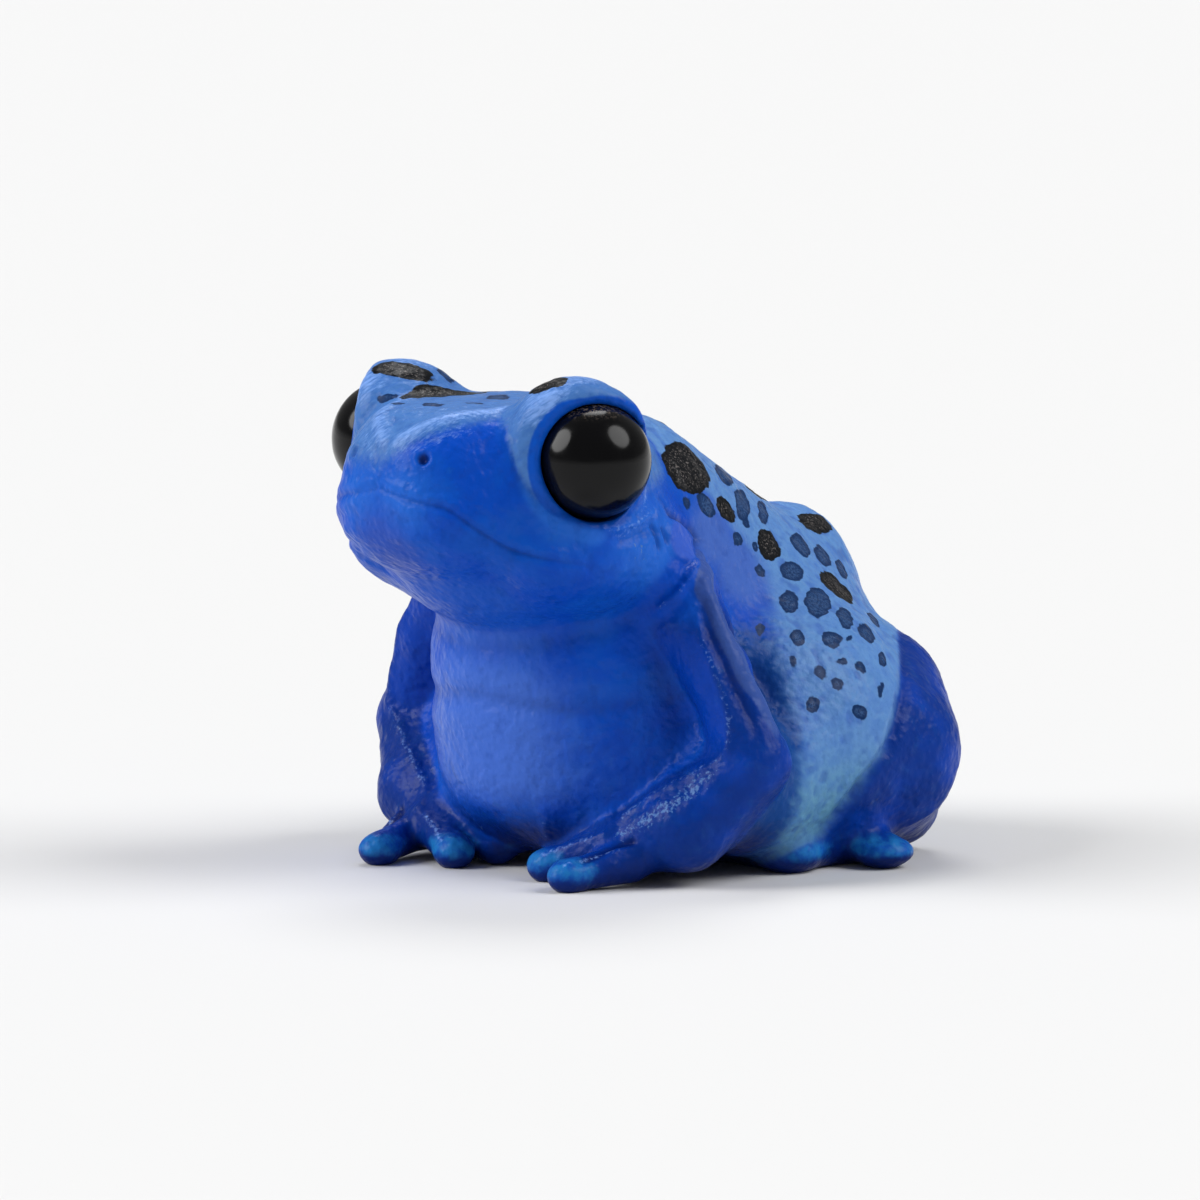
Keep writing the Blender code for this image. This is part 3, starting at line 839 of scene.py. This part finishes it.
class Mix:
    """The nodes of a material, or of the studio's light, added step by step."""

    def __init__(self, owner):
        owner.use_nodes = True
        self.nodes = owner.node_tree.nodes
        self.links = owner.node_tree.links
        self.place = self.nodes.new("ShaderNodeTexCoord").outputs

    def feed(self, value, socket):
        """Sets a socket to a number or a colour, or links it to another node's output."""
        if isinstance(value, bpy.types.NodeSocket):
            self.links.new(value, socket)
        elif isinstance(value, tuple) and len(socket.default_value) == 4:
            socket.default_value = (*value, 1.0)
        else:
            socket.default_value = value

    def maths(self, kind, first, second):
        node = self.nodes.new("ShaderNodeMath")
        node.operation = kind
        self.feed(first, node.inputs[0])
        self.feed(second, node.inputs[1])
        return node.outputs[0]

    def spread(self, value, low, high, bottom=0.0, top=1.0):
        """Climbs smoothly from bottom to top as the value goes from low to high."""
        node = self.nodes.new("ShaderNodeMapRange")
        node.interpolation_type = "SMOOTHSTEP"
        for name, amount in (
            ("Value", value), ("From Min", low), ("From Max", high), ("To Min", bottom), ("To Max", top),
        ):
            self.feed(amount, node.inputs[name])
        return node.outputs["Result"]

    def mask(self, name):
        node = self.nodes.new("ShaderNodeAttribute")
        node.attribute_name = name
        return node.outputs["Fac"]

    def mottle(self, size, detail=2.0, stretch=(1.0, 1.0, 1.0), turn=(0.0, 0.0, 0.0), rough=0.5):
        """Noise whose lumps are about this many millimetres across, drawn out along turned axes."""
        mapping = self.nodes.new("ShaderNodeMapping")
        mapping.vector_type = "TEXTURE"
        mapping.inputs["Scale"].default_value = stretch
        mapping.inputs["Rotation"].default_value = turn
        self.feed(self.place["Object"], mapping.inputs["Vector"])
        node = self.nodes.new("ShaderNodeTexNoise")
        node.inputs["Scale"].default_value = 1.0 / (size * MM)
        node.inputs["Detail"].default_value = detail
        node.inputs["Roughness"].default_value = rough
        self.feed(mapping.outputs["Vector"], node.inputs["Vector"])
        return node.outputs["Fac"]

    def broken(self, value, noise, amount, low=0.0, high=1.0):
        """A mask whose edge is broken up by noise."""
        swing = self.maths("MULTIPLY", self.maths("SUBTRACT", noise, 0.5), amount)
        return self.spread(self.maths("ADD", value, swing), low, high)

    def coat(self, under, colour, share):
        """Lays a colour over the one below it."""
        node = self.nodes.new("ShaderNodeMix")
        node.data_type = "RGBA"
        self.feed(share, node.inputs["Factor"])
        self.feed(under, node.inputs["A"])
        self.feed(colour, node.inputs["B"])
        return node.outputs["Result"]


paint = bpy.data.materials.new("hand_painted_skin")
mix = Mix(paint)
shader = mix.nodes["Principled BSDF"]
mist = mix.mottle(0.25, 2.0)
blotch = mix.mottle(1.1, 3.0, rough=0.6)
cloud = mix.mottle(4.5, 2.0)
feather = mix.mottle(0.7, 2.0, *STREAKS_DOWN_BACK, rough=0.5)
scratch = mix.mottle(0.25, 2.0, *STREAKS_UP_SNOUT, rough=0.7)
speckle = mix.mottle(0.16, 2.0, rough=0.7)
frost = mix.mottle(0.32, 3.0, rough=0.6)

colour = mix.coat(COBALT, LID_COBALT, mix.spread(cloud, 0.4, 0.65))
colour = mix.coat(colour, JOWL_BLUE, mix.broken(mix.mask("jowl"), blotch, 0.5, 0.1, 0.9))
colour = mix.coat(colour, THROAT_VIOLET, mix.broken(mix.mask("throat"), blotch, 0.5, 0.1, 0.9))
colour = mix.coat(colour, CHIN_VIOLET, mix.broken(mix.mask("chin"), blotch, 0.6, 0.2, 0.9))
colour = mix.coat(colour, BELLY_VIOLET, mix.broken(mix.mask("violet"), blotch, 0.45, 0.1, 0.9))
colour = mix.coat(colour, SHADE_TEAL, mix.broken(mix.mask("shade"), feather, 0.9, 0.1, 0.9))
sky_blue = mix.coat(SKY_BLUE, FLANK_GREY, mix.spread(mix.mask("low"), 0.1, 0.8))
sky_blue = mix.coat(sky_blue, COBALT, mix.spread(blotch, 0.62, 0.35, 0.0, 0.2))
# Painted shade in the pits of the grain and painted highlights on its peaks.
sky_blue = mix.coat(sky_blue, LIMB_COBALT, mix.spread(mix.mask("peak"), -0.1, -0.9, 0.0, 0.25))
sky_blue = mix.coat(sky_blue, CROWN_BLUE, mix.spread(mix.mask("peak"), 0.1, 0.9, 0.0, 0.4))
sky_blue = mix.coat(sky_blue, LIMB_NAVY, mix.spread(mist, 0.45, 0.25, 0.0, 0.15))
colour = mix.coat(colour, sky_blue, mix.broken(mix.mask("sky"), feather, 0.7, 0.1, 0.9))
colour = mix.coat(colour, NECK_VIOLET, mix.broken(mix.mask("neck"), blotch, 0.3, 0.1, 0.8))
crown_blue = mix.coat(CROWN_BLUE, LID_COBALT, mix.spread(scratch, 0.55, 0.3, 0.0, 0.18))
colour = mix.coat(colour, crown_blue, mix.broken(mix.mask("crown"), frost, 0.5, 0.15, 0.85))
colour = mix.coat(colour, LID_COBALT, mix.broken(mix.mask("lid"), blotch, 0.5, 0.2, 0.8))
limb_blue = mix.coat(LIMB_NAVY, LIMB_VIOLET, mix.spread(blotch, 0.45, 0.7))
limb_blue = mix.coat(limb_blue, LIMB_COBALT, mix.spread(cloud, 0.45, 0.7, 0.0, 0.7))
# Painted light: the front face of the upper arm in lighter cobalt.
limb_blue = mix.coat(limb_blue, LIMB_COBALT, mix.mask("arm_plane"))
colour = mix.coat(colour, limb_blue, mix.broken(mix.mask("limb"), blotch, 0.3, 0.15, 0.85))
colour = mix.coat(colour, ARM_GREY, mix.broken(mix.mask("arm_band"), blotch, 0.7, 0.1, 1.1))
colour = mix.coat(colour, DRUM_VIOLET, mix.broken(mix.mask("drum"), blotch, 0.3, 0.1, 0.9))
# Painted shade in navy in the pits of the grain.
pit_shade = mix.spread(mix.mask("peak"), -0.1, -0.9)
colour = mix.coat(colour, LIMB_NAVY, mix.maths("MULTIPLY", pit_shade, mix.spread(blotch, 0.35, 0.65, 0.05, 0.25)))
# Painted shade: navy in the folds, pits and armpit, under the belly, near the table and on the far arm.
colour = mix.coat(colour, PAINTED_SHADE_NAVY, mix.broken(mix.mask("wash"), blotch, 0.3, 0.0, 1.0))
turquoise = mix.coat(TURQUOISE, LIMB_COBALT, mix.spread(blotch, 0.6, 0.35, 0.0, 0.6))
# Turquoise on the tips, kept to their upper faces as painted light.
colour = mix.coat(colour, turquoise, mix.broken(mix.mask("tips"), blotch, 1.0, 0.1, 0.9))
colour = mix.coat(colour, FLECK_PALE, mix.broken(mix.mask("flecks"), frost, 2.6, 0.85, 1.2))
# Painted highlights in pale blue on the ridges, round the nostrils and brows, and along the canthus.
colour = mix.coat(colour, HIGHLIGHT_PALE, mix.broken(mix.mask("dry"), frost, 1.8, 0.5, 1.3))
colour = mix.coat(colour, HIGHLIGHT_PALE, mix.broken(mix.mask("brushed_highlight"), scratch, 1.6, 0.4, 1.3))
uneven = mix.maths("MULTIPLY", mix.maths("SUBTRACT", mix.mottle(0.9, 2.0), 0.5), 0.75)
navy_depth = mix.maths("ADD", mix.mask("navy"), uneven)
black_depth = mix.maths("ADD", mix.mask("black"), uneven)
navy_middle = mix.maths("MULTIPLY", mix.spread(navy_depth, 0.12, 0.5), mix.spread(speckle, 0.38, 0.6))
black_middle = mix.maths("MULTIPLY", mix.spread(black_depth, 0.15, 0.6), mix.spread(speckle, 0.56, 0.64))
navy = mix.coat(SPOT_NAVY, SPOT_NAVY_PALE, navy_middle)
black = mix.coat(SPOT_BLACK, SPOT_SPECK, black_middle)
colour = mix.coat(colour, navy, mix.spread(navy_depth, -0.06, 0.06))
colour = mix.coat(colour, black, mix.spread(black_depth, -0.05, 0.05))
# The black ring round each bead, partly painted shade in the socket gap.
colour = mix.coat(colour, EYE_RIM_BLACK, mix.mask("black_rim"))
mix.feed(colour, shader.inputs["Base Color"])

mix.feed(mix.spread(blotch, 0.3, 0.7, 0.42, 0.28), shader.inputs["Roughness"])
shader.inputs["Specular IOR Level"].default_value = 0.1

cells = mix.nodes.new("ShaderNodeTexVoronoi")
cells.feature = "SMOOTH_F1"
cells.inputs["Scale"].default_value = 1.0 / (LEATHER_CELL * MM)
cells.inputs["Randomness"].default_value = 1.0
mix.feed(mix.place["Object"], cells.inputs["Vector"])
pores = mix.maths("SUBTRACT", mix.maths("MULTIPLY", mix.mottle(1.0, 3.0), 1.4), cells.outputs["Distance"])
bump = mix.nodes.new("ShaderNodeBump")
bump.inputs["Strength"].default_value = 0.8
bump.inputs["Distance"].default_value = LEATHER_BUMP * MM
mix.feed(pores, bump.inputs["Height"])
mix.feed(bump.outputs["Normal"], shader.inputs["Normal"])

skin.data.materials.clear()
skin.data.materials.append(paint)


# The eyes. Each is a separate bead of black glass, dipped in clear lacquer that set a little uneven, and
# glued into its socket after the paint has dried. Brown specks on the top of each bead are paint dust on
# the lacquer and a painted highlight of the glint there.
EYE_STEPS = 128
LACQUER_WAVE = 0.012
LACQUER_CELL = 1.4
EYE_BLACK = (0.0015, 0.0015, 0.002)
DUST_AND_GLINT_BROWN = (0.10, 0.08, 0.066)
DUST_AND_GLINT_START = 0.72
DUST_AND_GLINT_FULL = 0.95

gloss = bpy.data.materials.new("eye_bead")
mix = Mix(gloss)
shader = mix.nodes["Principled BSDF"]
# Brown specks on the top of the bead: paint dust, and a painted highlight of the glint there.
dust_and_glint = mix.maths("MULTIPLY", mix.mask("dust_and_glint"), mix.spread(mix.mottle(0.25, 3.0, rough=0.7), 0.5, 0.62))
mix.feed(mix.coat(EYE_BLACK, DUST_AND_GLINT_BROWN, dust_and_glint), shader.inputs["Base Color"])
mix.feed(mix.spread(mix.mottle(1.6, 3.0), 0.3, 0.7, 0.10, 0.17), shader.inputs["Roughness"])
shader.inputs["Specular IOR Level"].default_value = 0.2
for name in ("eye_left", "eye_right"):
    low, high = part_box(name)
    ball = bmesh.new()
    bmesh.ops.create_uvsphere(ball, u_segments=EYE_STEPS, v_segments=EYE_STEPS // 2, radius=EYE_RADIUS)
    bead = bpy.data.objects.new(name.replace("eye", "eye_bead"), bpy.data.meshes.new(name))
    ball.to_mesh(bead.data)
    ball.free()
    bpy.context.scene.collection.objects.link(bead)
    around_ball = places_of(bead)
    dent = LACQUER_WAVE * (grain(around_ball + EYE_RADIUS, LACQUER_CELL, 31) - 1.0)
    around_ball *= 1.0 + dent[:, None] / EYE_RADIUS
    layer = bead.data.attributes.new("dust_and_glint", "FLOAT", "POINT")
    dust_and_glint_amount = ramp(around_ball[:, 2] / EYE_RADIUS, DUST_AND_GLINT_START, DUST_AND_GLINT_FULL)
    layer.data.foreach_set("value", dust_and_glint_amount.astype(np.float32))
    bead.data.vertices.foreach_set("co", (around_ball * MM + np.array((low + high) / 2)).ravel())
    bead.data.shade_smooth()
    bead.data.materials.append(gloss)
    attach(bead, "root")
    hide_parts(name)


# The setting: a wide pale table, two large soft lamps at the sides, one behind and above, and a camera
# at the height of a face across the table.
CAMERA_DISTANCE = 1.0
SENSOR = 36.0
PHOTO_SIZE = 1200
TABLE_RADIUS = 4.0
TABLE_GREY = (0.72, 0.72, 0.72)

bpy.ops.mesh.primitive_circle_add(vertices=128, radius=TABLE_RADIUS, fill_type="NGON")
table = bpy.context.active_object
table.name = "table"
pale = bpy.data.materials.new("pale_table")
pale.use_nodes = True
pale_shader = pale.node_tree.nodes["Principled BSDF"]
pale_shader.inputs["Base Color"].default_value = (*TABLE_GREY, 1.0)
pale_shader.inputs["Roughness"].default_value = 0.9
pale_shader.inputs["Specular IOR Level"].default_value = 0.1
table.data.materials.append(pale)

to_camera, to_right, to_top = Vector(TO_CAMERA), Vector(TO_RIGHT), Vector(TO_TOP)
lens = bpy.data.cameras.new("camera")
lens.sensor_width = SENSOR
lens.lens = SENSOR * CAMERA_DISTANCE / (PHOTO_SIZE * PHOTO_PIXEL * MM)
lens.shift_x = (PHOTO_SIZE / 2 - PHOTO_MIDDLE[0]) / PHOTO_SIZE
lens.shift_y = (PHOTO_MIDDLE[1] - PHOTO_SIZE / 2) / PHOTO_SIZE
lens.clip_start = 0.01
lens.clip_end = 20.0
camera = bpy.data.objects.new("camera", lens)
camera.location = MM * (Vector(SUBJECT) + Vector((0.0, EYE_LINE, 0.0))) + CAMERA_DISTANCE * to_camera
camera.rotation_euler = to_camera.to_track_quat("Z", "Y").to_euler()
bpy.context.scene.collection.objects.link(camera)
bpy.context.scene.camera = camera

LAMPS = (
    ("lamp_left", (-0.82, 0.54, 0.18), 2.3, 38.0),
    ("lamp_right", (0.70, 0.66, 0.24), 1.95, 40.0),
    ("lamp_above", (0.0, 0.90, -0.44), 1.0, 28.0),
)
for name, (right, top, near), strength, width in LAMPS:
    light = bpy.data.lights.new(name, "SUN")
    light.energy = strength
    light.angle = math.radians(width)
    lamp = bpy.data.objects.new(name, light)
    aim = right * to_right + top * to_top + near * to_camera
    lamp.rotation_euler = aim.to_track_quat("Z", "Y").to_euler()
    bpy.context.scene.collection.objects.link(lamp)

world = bpy.data.worlds.new("studio")
bpy.context.scene.world = world
mix = Mix(world)
backdrop = mix.nodes["Background"]
rise_of_light = mix.nodes.new("ShaderNodeSeparateXYZ")
mix.feed(mix.place["Generated"], rise_of_light.inputs[0])
mix.feed(mix.spread(rise_of_light.outputs["Z"], 0.02, 0.12, 0.7, 0.22), backdrop.inputs["Strength"])
mix.feed((1.0, 1.0, 1.0), backdrop.inputs["Color"])
bpy.context.scene.view_settings.view_transform = "Standard"
